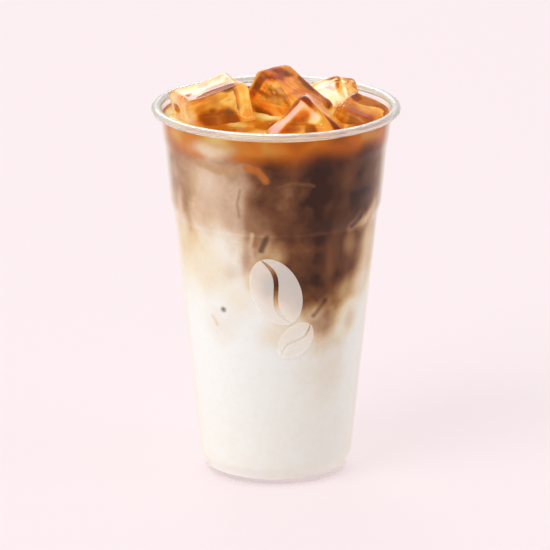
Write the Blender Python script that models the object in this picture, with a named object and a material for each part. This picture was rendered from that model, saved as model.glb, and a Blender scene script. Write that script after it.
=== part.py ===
"""An iced latte in a clear cold-drink cup: the cup, the milk, the coffee over it and the floating ice.

Lengths are in metres and +Z is up. The origin is the middle of the ring that the cup stands on.
"""

import math

import bmesh
import bpy
from mathutils import Euler, Matrix, Vector, noise

MM = 0.001

# Driving dimensions of the cup
CUP_HEIGHT = 149.5 * MM
RIM_RADIUS = 49.0 * MM
WALL = 0.6 * MM
FOOT_RADIUS = 28.0 * MM
FOOT_FILLET = 1.5 * MM
FOOT_RING_WIDTH = 3.5 * MM
BASE_RECESS = 2.2 * MM

# The wall from the foot up, as outer radii and the heights they are reached at
FOOT_TOP_RADIUS, FOOT_TOP_HEIGHT = 28.4 * MM, 4.0 * MM
BODY_LOW_RADIUS, BODY_LOW_HEIGHT = 30.2 * MM, 7.5 * MM
BODY_HIGH_RADIUS, BODY_HIGH_HEIGHT = 40.2 * MM, 106.5 * MM
STEP_RADIUS, STEP_HEIGHT = 41.6 * MM, 110.5 * MM
BAND_RADIUS, BAND_HEIGHT = 43.7 * MM, 133.5 * MM
NECK_RADIUS, NECK_HEIGHT = 44.4 * MM, 136.5 * MM
FLARE_RADIUS, FLARE_HEIGHT = 45.5 * MM, 146.0 * MM

# The rolled rim is a flattened curl, open below
CURL_HALF_WIDTH = 1.9 * MM
CURL_HALF_HEIGHT = 1.5 * MM
CURL_END = math.radians(-105)

# The drink
DRINK_LEVEL = 145.0 * MM
MEETING_HEIGHT = 87.0 * MM
MEETING_TILT = -0.44
MEETING_SWELL = 5.0 * MM
MEETING_WAVE = 31.0 * MM
MEETING_PHASE_X, MEETING_PHASE_Y = 0.6, -0.4
GAP = 0.3 * MM

# Each floating cube: middle, edge lengths and turns about X, Y and Z, in millimetres and degrees
ICE = {
    "ice_left": ((-24.6, -5.8, 145.7), (27.3, 22.5, 26.5), (3, -13, 24)),
    "ice_tall": ((4.1, 7.4, 147.0), (28.2, 22.2, 19.3), (-7, 28, -38)),
    "ice_front": ((12.4, -24.6, 143.8), (25.2, 20.8, 22.8), (-10, 42, -13)),
    "ice_back": ((21.3, 22.9, 141.9), (23.2, 18.0, 21.8), (160, -24, -22)),
    "ice_right": ((30.8, -5.4, 141.0), (17.7, 20.8, 22.0), (4, 21, -24)),
}
ICE_ROUNDING = 3.4 * MM
ICE_DENT = 0.7 * MM
ICE_UNEVEN = 0.5 * MM
ICE_WAVE = 14.0 * MM
ICE_WAVE_STEP = Vector((7.3, 3.1, 1.0))

# Fineness
ROUND_STEPS = 60
CURL_STEPS = 9
MEETING_CELLS = 20
HALF_TURN_SHARE = 0.59

MILK = (0.90, 0.86, 0.78, 1.0)
COFFEE = (0.27, 0.10, 0.035, 1.0)
CLEAR = (0.93, 0.94, 0.94, 1.0)
ICE_TINT = (0.93, 0.86, 0.74, 1.0)


def clear_scene():
    for obj in list(bpy.data.objects):
        bpy.data.objects.remove(obj)


def material(name, color, roughness, see_through=0.0):
    made = bpy.data.materials.new(name)
    made.use_nodes = True
    shader = made.node_tree.nodes["Principled BSDF"]
    shader.inputs["Base Color"].default_value = color
    shader.inputs["Roughness"].default_value = roughness
    shader.inputs["Metallic"].default_value = 0.0
    shader.inputs["Transmission Weight"].default_value = see_through
    return made


def add_object(name, bm, finish=None):
    """Puts a bmesh in the scene as an object at the origin, shaded smooth up to 35 degrees."""
    bmesh.ops.recalc_face_normals(bm, faces=bm.faces[:])
    mesh = bpy.data.meshes.new(name)
    bm.to_mesh(mesh)
    bm.free()
    mesh.shade_smooth()
    mesh.set_sharp_from_angle(angle=math.radians(35))
    if finish:
        mesh.materials.append(finish)
    obj = bpy.data.objects.new(name, mesh)
    bpy.context.scene.collection.objects.link(obj)
    return obj


def as_cutter(obj):
    obj.hide_render = True
    obj.display_type = "WIRE"
    return obj


def turned(profile):
    """A closed body of revolution from a profile of (radius, height) points that starts and ends on the axis."""
    bm = bmesh.new()
    verts = [bm.verts.new((radius, 0.0, height)) for radius, height in profile]
    edges = [bm.edges.new(pair) for pair in zip(verts, verts[1:])]
    bmesh.ops.spin(
        bm,
        geom=verts + edges,
        cent=(0, 0, 0),
        axis=(0, 0, 1),
        angle=math.tau,
        steps=ROUND_STEPS,
    )
    bmesh.ops.remove_doubles(bm, verts=bm.verts[:], dist=0.001 * MM)
    return bm


def offset(points, distance):
    """The same line moved sideways by a distance, to the left of its direction of travel."""
    moved = []
    for i, (radius, height) in enumerate(points):
        before = Vector(points[max(i - 1, 0)])
        after = Vector(points[min(i + 1, len(points) - 1)])
        here = Vector((radius, height))
        into = (here - before).normalized() if i > 0 else (after - here).normalized()
        out_of = (after - here).normalized() if i + 1 < len(points) else into
        along = (into + out_of).normalized()
        reach = distance / max(along.dot(into), 0.5)
        moved.append((radius - along.y * reach, height + along.x * reach))
    return moved


def base_line():
    """The underside from the axis out: a raised floor, the ring that it stands on and the foot's rounded edge."""
    ring_outer = FOOT_RADIUS - FOOT_FILLET
    ring_inner = ring_outer - FOOT_RING_WIDTH
    line = [(0.0, BASE_RECESS), (ring_inner - 3 * BASE_RECESS, BASE_RECESS)]
    line += [(ring_inner - BASE_RECESS, BASE_RECESS * 0.7), (ring_inner, 0.0), (ring_outer, 0.0)]
    middle = (ring_outer, FOOT_FILLET)
    for step in (1, 2):
        angle = math.radians(-90 + 45 * step)
        line.append((middle[0] + FOOT_FILLET * math.cos(angle), middle[1] + FOOT_FILLET * math.sin(angle)))
    return line


def wall_line():
    """The outer face of the wall, from the foot's top to the flare under the rim, with its moulded steps."""
    return [
        (FOOT_TOP_RADIUS, FOOT_TOP_HEIGHT),
        (BODY_LOW_RADIUS, BODY_LOW_HEIGHT),
        (BODY_HIGH_RADIUS, BODY_HIGH_HEIGHT),
        (STEP_RADIUS, STEP_HEIGHT),
        (BAND_RADIUS, BAND_HEIGHT),
        (NECK_RADIUS, NECK_HEIGHT),
        (FLARE_RADIUS, FLARE_HEIGHT),
    ]


def curl_line():
    """The lower face of the sheet where it rolls outwards into the rim: an ellipse run from inside over the top."""
    middle = (RIM_RADIUS - CURL_HALF_WIDTH, CUP_HEIGHT - CURL_HALF_HEIGHT)
    reach = (CURL_HALF_WIDTH - WALL, CURL_HALF_HEIGHT - WALL)
    line = []
    for step in range(CURL_STEPS + 1):
        angle = math.pi + (CURL_END - math.pi) * step / CURL_STEPS
        line.append((middle[0] + reach[0] * math.cos(angle), middle[1] + reach[1] * math.sin(angle)))
    return line


def outer_line():
    return base_line() + wall_line() + curl_line()


def inner_line():
    """The face that holds the drink: the outer face moved in by the wall, with its ends kept on the axis."""
    line = offset(outer_line(), WALL)
    line[0] = (0.0, BASE_RECESS + WALL)
    return line


def make_cup(finish):
    profile = outer_line() + list(reversed(inner_line()))
    return add_object("cup", turned(profile), finish)


def drink_line():
    """The drink's own skin: the cup's inner face moved in by the gap, cut off at the level and closed there."""
    skin = offset(outer_line(), WALL + GAP)
    line = [(0.0, BASE_RECESS + WALL + GAP)]
    for below, above in zip(skin[1:], skin[2:]):
        line.append(below)
        if above[1] > DRINK_LEVEL:
            share = (DRINK_LEVEL - below[1]) / (above[1] - below[1])
            line.append((below[0] + share * (above[0] - below[0]), DRINK_LEVEL))
            break
    line.append((0.0, DRINK_LEVEL))
    return line


def meeting_height(x, y):
    """How high the milk reaches: it climbs on the left, sinks on the right and swells in slow waves."""
    swell = math.sin(x / MEETING_WAVE * 2 + MEETING_PHASE_X) * math.cos(y / MEETING_WAVE * 2 + MEETING_PHASE_Y)
    return MEETING_HEIGHT + MEETING_TILT * x + MEETING_SWELL * swell


def milk_zone(name, rise):
    """A block, used as a cutter, that holds all the space under the meeting surface raised by a distance."""
    half = RIM_RADIUS
    bottom = -10 * MM
    bm = bmesh.new()
    bmesh.ops.create_grid(bm, x_segments=MEETING_CELLS, y_segments=MEETING_CELLS, size=half)
    for vert in bm.verts:
        vert.co.z = meeting_height(vert.co.x, vert.co.y) + rise
    edge = [e for e in bm.edges if e.is_boundary]
    skirt = bmesh.ops.extrude_edge_only(bm, edges=edge)["geom"]
    low = [v for v in skirt if isinstance(v, bmesh.types.BMVert)]
    for vert in low:
        vert.co.z = bottom
    bmesh.ops.contextual_create(bm, geom=[e for e in bm.edges if e.is_boundary])
    return as_cutter(add_object(name, bm))


def boolean(obj, cutter, operation):
    step = obj.modifiers.new(f"{operation.lower()}_{cutter.name}", "BOOLEAN")
    step.operation = operation
    step.solver = "EXACT"
    step.object = cutter


def grid_lines(half):
    """Where a cube's faces are divided: close together over the rounded edges, wide apart between them."""
    flat = half - ICE_ROUNDING
    turn = half - HALF_TURN_SHARE * ICE_ROUNDING
    return [-half, -turn, -flat, -flat / 3, flat / 3, flat, turn, half]


def melted_cube(size, seed, grow=0.0):
    """A cube of ice as a bmesh: rounded edges, faces dented a little in their middles, and an uneven surface."""
    half = Vector(size) * 0.5
    bm = bmesh.new()
    bmesh.ops.create_cube(bm, size=2.0)
    cuts = len(grid_lines(1.0)) - 2
    bmesh.ops.subdivide_edges(bm, edges=bm.edges[:], cuts=cuts, use_grid_fill=True)
    lines = [grid_lines(side) for side in half]
    for vert in bm.verts:
        steps = [round((c + 1) / 2 * (cuts + 1)) for c in vert.co]
        place = Vector(lines[axis][steps[axis]] for axis in range(3))
        core = Vector(max(-h + ICE_ROUNDING, min(h - ICE_ROUNDING, c)) for c, h in zip(place, half))
        outward = (place - core).normalized()
        facing = max(abs(n) for n in outward)
        inside_face = math.prod(1 - (c / h) ** 2 * (1 - abs(n)) for c, h, n in zip(place, half, outward))
        uneven = noise.noise(place / ICE_WAVE + seed * ICE_WAVE_STEP)
        depth = ICE_ROUNDING + ICE_UNEVEN * uneven - ICE_DENT * max(inside_face, 0) * facing + grow
        vert.co = core + outward * depth
    return bm


def place_of(middle, turn):
    angles = Euler([math.radians(a) for a in turn], "XYZ")
    return Matrix.LocRotScale(Vector(middle) * MM, angles, None)


def make_ice(finish):
    """The floating cubes, and a grown copy of each that hollows the coffee round it."""
    cutters = []
    for seed, (name, (middle, size, turn)) in enumerate(ICE.items(), start=1):
        edges = [side * MM for side in size]
        cube = add_object(name, melted_cube(edges, seed), finish)
        cube.matrix_world = place_of(middle, turn)
        hollow = as_cutter(add_object(f"{name}_hollow", melted_cube(edges, seed, GAP)))
        hollow.matrix_world = place_of(middle, turn)
        cutters.append(hollow)
    return cutters


def make_drink(milk_finish, coffee_finish, ice_hollows):
    """The milk under the meeting surface, and the coffee over it, hollowed where the ice floats."""
    milk = add_object("milk", turned(drink_line()), milk_finish)
    boolean(milk, milk_zone("milk_zone", 0.0), "INTERSECT")
    coffee = add_object("coffee", turned(drink_line()), coffee_finish)
    boolean(coffee, milk_zone("milk_zone_raised", GAP), "DIFFERENCE")
    for hollow in ice_hollows:
        boolean(coffee, hollow, "DIFFERENCE")


def main():
    clear_scene()
    make_cup(material("clear_plastic", CLEAR, 0.05, see_through=1.0))
    hollows = make_ice(material("ice", ICE_TINT, 0.04, see_through=0.9))
    make_drink(material("milk", MILK, 0.35), material("coffee", COFFEE, 0.2), hollows)


main()
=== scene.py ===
# %% [markdown]
# # An iced latte in its clear cup
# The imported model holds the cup, the milk, the coffee and five floating ice cubes at their true sizes.
# This lesson dresses it: the cup becomes clear moulded plastic, the two layers of the drink become one
# marbled liquid, and the ice becomes wet, half melted glass. Every new surface is worked out with numpy
# as a function of two parameters, and every colour comes from nodes or from values at the points.

# %% Load the frame
import math

import bpy
import numpy as np
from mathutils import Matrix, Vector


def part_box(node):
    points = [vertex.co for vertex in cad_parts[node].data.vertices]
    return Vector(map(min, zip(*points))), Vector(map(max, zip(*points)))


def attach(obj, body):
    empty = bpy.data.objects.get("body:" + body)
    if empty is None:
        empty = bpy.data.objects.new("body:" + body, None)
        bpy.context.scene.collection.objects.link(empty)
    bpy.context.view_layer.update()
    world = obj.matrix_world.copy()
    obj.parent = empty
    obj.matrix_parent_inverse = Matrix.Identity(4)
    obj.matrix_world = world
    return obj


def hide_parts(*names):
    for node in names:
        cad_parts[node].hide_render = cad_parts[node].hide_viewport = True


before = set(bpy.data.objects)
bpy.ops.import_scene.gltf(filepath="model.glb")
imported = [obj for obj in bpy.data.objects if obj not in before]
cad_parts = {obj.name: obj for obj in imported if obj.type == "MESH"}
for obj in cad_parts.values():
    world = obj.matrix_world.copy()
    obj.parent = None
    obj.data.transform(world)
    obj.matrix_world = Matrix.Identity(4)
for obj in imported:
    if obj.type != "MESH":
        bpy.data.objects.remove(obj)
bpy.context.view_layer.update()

MM = 0.001
BODY = "root"
cup_low, cup_high = (np.array(corner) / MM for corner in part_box("cup"))
drink_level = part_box("coffee")[1][2] / MM
print("cup height", cup_high[2].round(2), "mm, rim radius", cup_high[0].round(2), "mm")
print("drink to", round(drink_level, 2), "mm")

# %% [markdown]
# ## Surfaces from grids
# A grid of points is the simplest way to hold a curved surface: rows run along one parameter and columns
# along the other. A cup and the liquid in it are closed round the axis, so the last column joins the
# first, and a fan of triangles closes each end. Points are kept in millimetres until the mesh is made.

# %% A closed skin from a grid that runs round the axis
def skin_faces(rows, columns):
    """Quads between neighbouring rows, and a fan from each end row to its own pole, the last two points."""
    start = np.arange(rows - 1)[:, None] * columns
    here = np.arange(columns)
    after = (here + 1) % columns
    quads = np.stack([start + here, start + after, start + columns + after, start + columns + here], -1)
    low_pole, high_pole = np.full(columns, rows * columns), np.full(columns, rows * columns + 1)
    last = (rows - 1) * columns
    low_fan = np.stack([low_pole, after, here], -1)
    high_fan = np.stack([high_pole, last + here, last + after], -1)
    return quads.reshape(-1, 4).tolist() + low_fan.tolist() + high_fan.tolist()


def skin_points(grid):
    """The grid's points in one list, then the mean of its first row and of its last row as poles."""
    flat = grid.reshape(-1, 3)
    return np.vstack([flat, grid[0].mean(0), grid[-1].mean(0)])


def add_mesh(name, points, faces):
    """A new object from points in millimetres and lists of corner numbers."""
    mesh = bpy.data.meshes.new(name)
    mesh.from_pydata((np.asarray(points) * MM).tolist(), [], faces)
    mesh.update()
    obj = bpy.data.objects.new(name, mesh)
    bpy.context.scene.collection.objects.link(obj)
    return obj


def smooth(obj, sharp_degrees=40):
    """Smooth shading, but for edges that bend by more than an angle."""
    obj.data.shade_smooth()
    obj.data.set_sharp_from_angle(angle=math.radians(sharp_degrees))
    return obj


# %% Colours and node helpers
def tone(red, green, blue):
    """A screen colour, from 0 to 255, as the linear colour that the shader works with."""
    share = np.array([red, green, blue]) / 255.0
    linear = np.where(share <= 0.04045, share / 12.92, ((share + 0.055) / 1.055) ** 2.4)
    return (*linear.tolist(), 1.0)


def new_material(name):
    """A material with its nodes, its links and its Principled shader."""
    made = bpy.data.materials.new(name)
    made.use_nodes = True
    return made, made.node_tree.nodes, made.node_tree.links, made.node_tree.nodes["Principled BSDF"]


def set_inputs(node, values):
    """Sets constants on a node's input sockets, which are given by name or by number."""
    for socket, value in values.items():
        node.inputs[socket].default_value = value


def add_node(nodes, kind, inputs=None, **settings):
    """A new node with its settings, and with constants on some of its sockets."""
    node = nodes.new(kind)
    for key, value in settings.items():
        setattr(node, key, value)
    set_inputs(node, inputs or {})
    return node


# %% [markdown]
# ## The outline of the cup
# The cup is blown from one sheet, so its wall has the same thickness all over and every corner is a soft
# bend. Its outline is drawn as straight runs between a few driving points, and each corner is then
# rounded with a short quadratic curve. The inner face is the same line moved in by the wall.

# %% The outline's driving points
WALL = 0.6
FOOT_RADIUS, FOOT_FILLET, FOOT_RING_WIDTH, BASE_RECESS = 28.0, 1.5, 3.5, 2.2
WALL_POINTS = [(28.4, 4.0), (30.2, 7.5), (40.2, 106.5), (41.6, 110.5), (43.7, 133.5), (44.4, 136.5),
               (45.5, 146.0)]
WALL_BENDS = [0.8, 1.2, 2.0, 2.0, 1.5, 1.6, 1.5]
CURL_HALF_WIDTH, CURL_HALF_HEIGHT = 1.9, 1.5
CURL_END = math.radians(-105)
BEND_STEPS, CURL_STEPS = 7, 22


def rounded(corners, reaches):
    """Each corner becomes a quadratic curve from one reach before it to one reach after it."""
    corner = np.array(corners, float)
    ahead = corner[1:] - corner[:-1]
    ahead /= np.linalg.norm(ahead, axis=1, keepdims=True)
    into = np.vstack([ahead[:1], ahead])
    out_of = np.vstack([ahead, ahead[-1:]])
    reach = np.array(reaches, float)[:, None]
    start, end = corner - into * reach, corner + out_of * reach
    t = np.linspace(0, 1, BEND_STEPS)[None, :, None]
    curve = (1 - t) ** 2 * start[:, None] + 2 * t * (1 - t) * corner[:, None] + t ** 2 * end[:, None]
    return curve.reshape(-1, 2)


def outer_profile():
    """Radius and height along the outer face: the underside, the foot, the wall and the rolled rim."""
    ring_outer = FOOT_RADIUS - FOOT_FILLET
    ring_inner = ring_outer - FOOT_RING_WIDTH
    base = [(ring_inner - 3 * BASE_RECESS, BASE_RECESS), (ring_inner - BASE_RECESS, BASE_RECESS * 0.7)]
    base += [(ring_inner, 0.0), (FOOT_RADIUS, 0.0)]
    bends = rounded(base + WALL_POINTS, [2.0, 1.5, 0.8, FOOT_FILLET] + WALL_BENDS)
    middle = np.array([cup_high[0] - CURL_HALF_WIDTH, cup_high[2] - CURL_HALF_HEIGHT])
    reach = np.array([CURL_HALF_WIDTH - WALL, CURL_HALF_HEIGHT - WALL])
    angle = np.linspace(math.pi, CURL_END, CURL_STEPS)
    curl = middle + reach * np.stack([np.cos(angle), np.sin(angle)], -1)
    centre = np.array([[0.5, BASE_RECESS]])
    return np.vstack([centre, bends[:-2], curl])


def moved_in(line, distance):
    """The line moved to the left of its own direction: each point goes along its normal by the distance."""
    along = np.gradient(line, axis=0)
    along /= np.linalg.norm(along, axis=1, keepdims=True)
    return line + distance * np.stack([-along[:, 1], along[:, 0]], -1)


outer_line = outer_profile()
inner_line = moved_in(outer_line, WALL)
print("outline of", len(outer_line), "points, up to", outer_line[:, 0].max().round(2), "mm from the axis")

# %% [markdown]
# ## The cup
# A turned profile gives the real thin wall with an inner and an outer face, so light bends twice as it
# does in the sheet. A solid body with no inner face would look like a heavy glass.

# %% Turn the cup
CUP_COLUMNS = 256


def turned(profile, columns):
    """Radius r and height z carried round the axis: (r cos t, r sin t, z) for every turn t."""
    t = np.linspace(0, 2 * np.pi, columns, endpoint=False)
    radius, height = profile[:, :1], profile[:, 1:]
    return np.stack([radius * np.cos(t), radius * np.sin(t), height + 0 * t], -1)


cup_grid = turned(np.vstack([outer_line, inner_line[::-1]]), CUP_COLUMNS)
cup = add_mesh("clear_cup", skin_points(cup_grid), skin_faces(len(cup_grid), CUP_COLUMNS))
smooth(cup, 60)
print("cup:", len(cup.data.polygons), "faces")

# %% [markdown]
# ## Floating ice
# Cubes from an ice machine start with flat faces and melt fast in coffee: the edges go round, each face
# gets a shallow hollow and the whole surface turns wavy. A rounded box does this well: every point of a
# cube's grid is drawn in to an inner core and then pushed out along its own direction, by the rounding,
# plus slow waves, minus a hollow in the middle of each face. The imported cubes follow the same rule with
# fewer points, so the fine ones lie right over them.

# %% The melted cube
ICE = {
    "ice_left": ((-24.6, -5.8, 145.7), (27.3, 22.5, 26.5), (3, -13, 24)),
    "ice_tall": ((4.1, 7.4, 147.0), (28.2, 22.2, 19.3), (-7, 28, -38)),
    "ice_front": ((12.4, -24.6, 143.8), (25.2, 20.8, 22.8), (-10, 42, -13)),
    "ice_back": ((21.3, 22.9, 141.9), (23.2, 18.0, 21.8), (160, -24, -22)),
    "ice_right": ((30.8, -5.4, 141.0), (17.7, 20.8, 22.0), (4, 21, -24)),
}
ICE_ROUNDING, ICE_DENT, ICE_UNEVEN, ICE_WAVE = 3.4, 1.1, 0.55, 13.0
# Cells over a rounded end, and over the flat between two of them: for the ice and for its hollows
ICE_CELLS, HOLLOW_CELLS = (9, 34), (5, 14)


def turn_matrix(degrees):
    """Turns about X, then Y, then Z, multiplied into one matrix."""
    (cx, cy, cz), (sx, sy, sz) = np.cos(np.radians(degrees)), np.sin(np.radians(degrees))
    about_x = np.array([[1, 0, 0], [0, cx, -sx], [0, sx, cx]])
    about_y = np.array([[cy, 0, sy], [0, 1, 0], [-sy, 0, cy]])
    about_z = np.array([[cz, -sz, 0], [sz, cz, 0], [0, 0, 1]])
    return about_z @ about_y @ about_x


def stirred(points, seed, octaves=5):
    """Points pushed about like stirred liquid: each octave moves them by sines of their turned places."""
    rng = np.random.default_rng(seed)
    place = points + rng.uniform(0, 50, 3)
    for octave in range(octaves):
        fine = 1.75 ** octave
        turned_place = place @ turn_matrix(rng.uniform(0, 360, 3))
        place = place + 0.62 / fine * np.sin(fine * turned_place[:, [1, 2, 0]] + rng.uniform(0, 6.3, 3))
    return place


def cloud(points, size, seed, octaves=5):
    """Soft clouds from about -1 to 1: the sum of three sines, read at stirred points."""
    place = stirred(points / size * 2.6, seed, octaves)
    return (np.sin(place[:, 0]) + np.sin(place[:, 1]) + np.sin(place[:, 2])) / 1.9


def cube_lines(half, cells):
    """Grid positions along one edge: even over the flat, and crowded over the two rounded ends."""
    round_cells, flat_cells = cells
    flat = half - ICE_ROUNDING
    turn = np.tan(np.linspace(0, np.pi / 4, round_cells + 1)[1:]) * ICE_ROUNDING
    even = np.linspace(-flat, flat, flat_cells + 1)
    return np.concatenate([-flat - turn[::-1], even, flat + turn])


def cube_surface(size, cells):
    """The six faces of a box as grids, merged into one closed mesh by matching equal points."""
    half = np.array(size) / 2
    points, quads = [], []
    for axis in range(3):
        across, up = (axis + 1) % 3, (axis + 2) % 3
        lines = [cube_lines(half[direction], cells) for direction in (across, up)]
        first, second = np.meshgrid(*lines, indexing="ij")
        count = len(first)
        corner = (np.arange(count - 1)[:, None] * count + np.arange(count - 1)).ravel()
        quad = np.stack([corner, corner + count, corner + count + 1, corner + 1], -1)
        for side in (-1, 1):
            face = np.empty((first.size, 3))
            face[:, axis], face[:, across], face[:, up] = side * half[axis], first.ravel(), second.ravel()
            quads.append((quad if side > 0 else quad[:, ::-1]) + len(points) * first.size)
            points.append(face)
    points = np.vstack(points)
    unique, where = np.unique(points.round(4), axis=0, return_inverse=True)
    return unique, where.ravel()[np.vstack(quads)]


def melted_cube(cube, seed, grow=0.0, uneven=ICE_UNEVEN, cells=ICE_CELLS):
    """Points and faces of one cube in its place, with its skin moved out by a distance."""
    middle, size, turn = cube
    half = np.array(size) / 2
    box, quads = cube_surface(size, cells)
    core = np.clip(box, ICE_ROUNDING - half, half - ICE_ROUNDING)
    outward = box - core
    outward /= np.linalg.norm(outward, axis=1, keepdims=True)
    facing = np.abs(outward).max(1)
    inside_face = np.clip(np.prod(1 - (box / half) ** 2 * (1 - np.abs(outward)), axis=1), 0, None)
    waves = cloud(box, ICE_WAVE, 40 + seed, octaves=2)
    reach = ICE_ROUNDING + uneven * waves - ICE_DENT * inside_face * facing + grow
    shaped = core + outward * reach[:, None]
    return shaped @ turn.T + np.array(middle), quads


AWASH = {"ice_awash": ((-14.8, -28.0, 139.7), (20.5, 12.5, 10.4), (2, 3, 10))}
floating = {
    name: (middle, size, turn_matrix(turn))
    for name, (middle, size, turn) in {**ICE, **AWASH}.items()
}

# %% Make the five cubes, and the slab that is awash in front
ice_pieces = {}
for seed, (name, cube) in enumerate(floating.items()):
    cube_points, cube_quads = melted_cube(cube, seed)
    ice_pieces[name] = smooth(add_mesh(f"{name}_clear", cube_points, cube_quads.tolist()), 80)
    print(name, "spans", (np.ptp(cube_points, axis=0)).round(1), "mm")

# %% [markdown]
# ## The drink
# The liquid touches the wall all over, and no air shows between them, so its skin lies a little inside
# the plastic. Milk and coffee meet at a slanted, wavy surface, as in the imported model. Both bodies are
# grids of the same columns, and their rows meet at the same line, so that no seam shows. The surface
# climbs a little where it wets the wall and the ice, and each cube is cut out of the coffee, so that
# the eye looks down through the ice into a hollow in the coffee.

# %% The skin of the drink
DRINK_COLUMNS = 440
DRINK_INTO_WALL = 0.25
MEETING_HEIGHT, MEETING_TILT, MEETING_SWELL, MEETING_WAVE = 87.0, -0.44, 5.0, 31.0
MEETING_SINK = 0.5
CLIMB, CLIMB_REACH, LEVEL_SINK = 0.9, 1.3, 0.25
HOLLOW_GAP = 0.15
SIDE_ROWS, TOP_ROWS, MEETING_ROWS = (140, 116), 56, 8


def wall_radius(height):
    """The radius of the drink's skin at a height: the inner face of the wall, moved a little into it."""
    skin = moved_in(outer_line, WALL - DRINK_INTO_WALL)
    upright = skin[(skin[:, 0] > FOOT_RADIUS - 2 * FOOT_FILLET) & (skin[:, 1] > 0.5 * BASE_RECESS)]
    order = np.argsort(upright[:, 1])
    return np.interp(height, upright[order, 1], upright[order, 0])


def meeting_height(x, y):
    """The milk climbs on the left, sinks on the right and swells in slow waves."""
    swell = np.sin(x / MEETING_WAVE * 2 + 0.6) * np.cos(y / MEETING_WAVE * 2 - 0.4)
    return MEETING_HEIGHT + MEETING_TILT * x + MEETING_SWELL * swell


def meeting_line(t):
    """The height of the meeting surface at the wall for each turn, found by three rounds of looking up."""
    height = np.full_like(t, MEETING_HEIGHT)
    for _ in range(3):
        radius = wall_radius(height)
        height = meeting_height(radius * np.cos(t), radius * np.sin(t))
    return height


def ice_distance(points, cubes):
    """The distance from each point to the nearest cube, as to a rounded box, less than 0 inside it."""
    nearest = np.full(len(points), np.inf)
    for middle, size, turn in cubes.values():
        local = np.abs((points - np.array(middle)) @ turn) - (np.array(size) / 2 - ICE_ROUNDING)
        outside = np.linalg.norm(np.maximum(local, 0), axis=1) + np.minimum(local.max(1), 0)
        nearest = np.minimum(nearest, outside - ICE_ROUNDING)
    return nearest


turns = np.linspace(0, 2 * np.pi, DRINK_COLUMNS, endpoint=False)
line_heights = meeting_line(turns)


def side_rows(low, high, rows):
    """Rows up the wall: each column runs evenly from its low height to its high height."""
    share = np.linspace(0, 1, rows)[:, None]
    height = low + (high - low) * share
    radius = wall_radius(height)
    return np.stack([radius * np.cos(turns), radius * np.sin(turns), height], -1)


def disc_rows(edge, rows, height_at):
    """Rows from near the axis out to an edge row: the edge drawn in evenly, at the height of the surface."""
    share = np.linspace(0.01, 1, rows + 1)[:-1, None, None]
    flat = edge[None, :, :2] * share
    height = height_at(flat[..., 0], flat[..., 1], edge[:, 2], share[..., 0])
    return np.dstack([flat, height])


def meeting_disc(edge, rows, sink):
    """The meeting surface inside the wall, sunk towards the axis so that the two bodies stay apart."""
    def height_at(x, y, edge_height, share):
        return meeting_height(x, y) - sink * (1 - share)
    return disc_rows(edge, rows, height_at)


# %% The milk's body
base_edge_height = BASE_RECESS + WALL
milk_side = side_rows(np.full(DRINK_COLUMNS, base_edge_height + 0.4), line_heights, SIDE_ROWS[0])
base_disc = disc_rows(milk_side[0], 16, lambda x, y, edge, share: np.full_like(x, base_edge_height - 0.2))
milk_top = meeting_disc(milk_side[-1], MEETING_ROWS, MEETING_SINK)[::-1]
milk_grid = np.vstack([base_disc, milk_side, milk_top])
milk = add_mesh("milk_body", skin_points(milk_grid), skin_faces(len(milk_grid), DRINK_COLUMNS))

# %% The coffee's body and the hollows for the ice
def liquid_surface(points):
    """The level, raised near the wall and near the ice by a film that falls off with distance."""
    to_wall = wall_radius(drink_level) - np.hypot(points[:, 0], points[:, 1])
    to_ice = ice_distance(points, floating)
    near = np.minimum(to_wall, np.where(to_ice > 0, to_ice, np.inf))
    return drink_level - LEVEL_SINK + CLIMB * np.exp(-np.clip(near, 0, None) / CLIMB_REACH)


coffee_side = side_rows(line_heights, np.full(DRINK_COLUMNS, drink_level + CLIMB - LEVEL_SINK), SIDE_ROWS[1])


def surface_height(x, y, edge, share):
    """The height of the open surface at each point of a disc."""
    flat = np.stack([x.ravel(), y.ravel(), np.full(x.size, drink_level)], -1)
    return liquid_surface(flat).reshape(x.shape)


coffee_bottom = meeting_disc(coffee_side[0], MEETING_ROWS, -MEETING_SINK)
coffee_top = disc_rows(coffee_side[-1], TOP_ROWS, surface_height)[::-1]
coffee_grid = np.vstack([coffee_bottom, coffee_side, coffee_top])
coffee = add_mesh("coffee_body", skin_points(coffee_grid), skin_faces(len(coffee_grid), DRINK_COLUMNS))

hollow_points, hollow_quads, used = [], [], 0
for seed, cube in enumerate(floating.values()):
    cube_points, cube_quads = melted_cube(cube, seed, grow=-HOLLOW_GAP, cells=HOLLOW_CELLS)
    hollow_points.append(cube_points)
    hollow_quads.append(cube_quads + used)
    used += len(cube_points)
hollows = add_mesh("ice_hollows", np.vstack(hollow_points), np.vstack(hollow_quads).tolist())
cut = coffee.modifiers.new("hollows", "BOOLEAN")
cut.operation = "DIFFERENCE"
cut.solver = "MANIFOLD"
cut.object = hollows


def apply_modifiers(obj):
    """Puts the result of an object's modifiers in the place of its mesh."""
    evaluated = obj.evaluated_get(bpy.context.evaluated_depsgraph_get())
    finished = bpy.data.meshes.new_from_object(evaluated)
    obj.modifiers.clear()
    obj.data = finished
    return obj


apply_modifiers(coffee)
bpy.data.objects.remove(hollows)
for piece in (milk, coffee):
    smooth(piece, 35)
    print(piece.name, len(piece.data.polygons), "faces")

# %% [markdown]
# ## Sunk ice
# A few cubes hang lower down, and the drink hides them but for the places where an edge or a corner
# presses against the plastic. Each of these cubes is set by its mark: the turn and the height on the wall,
# the lean of the edge that touches there, the cube's side, how far it pokes through the skin of the drink
# (less than 0 where it stays behind it), and whether an edge or a corner touches.

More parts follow.
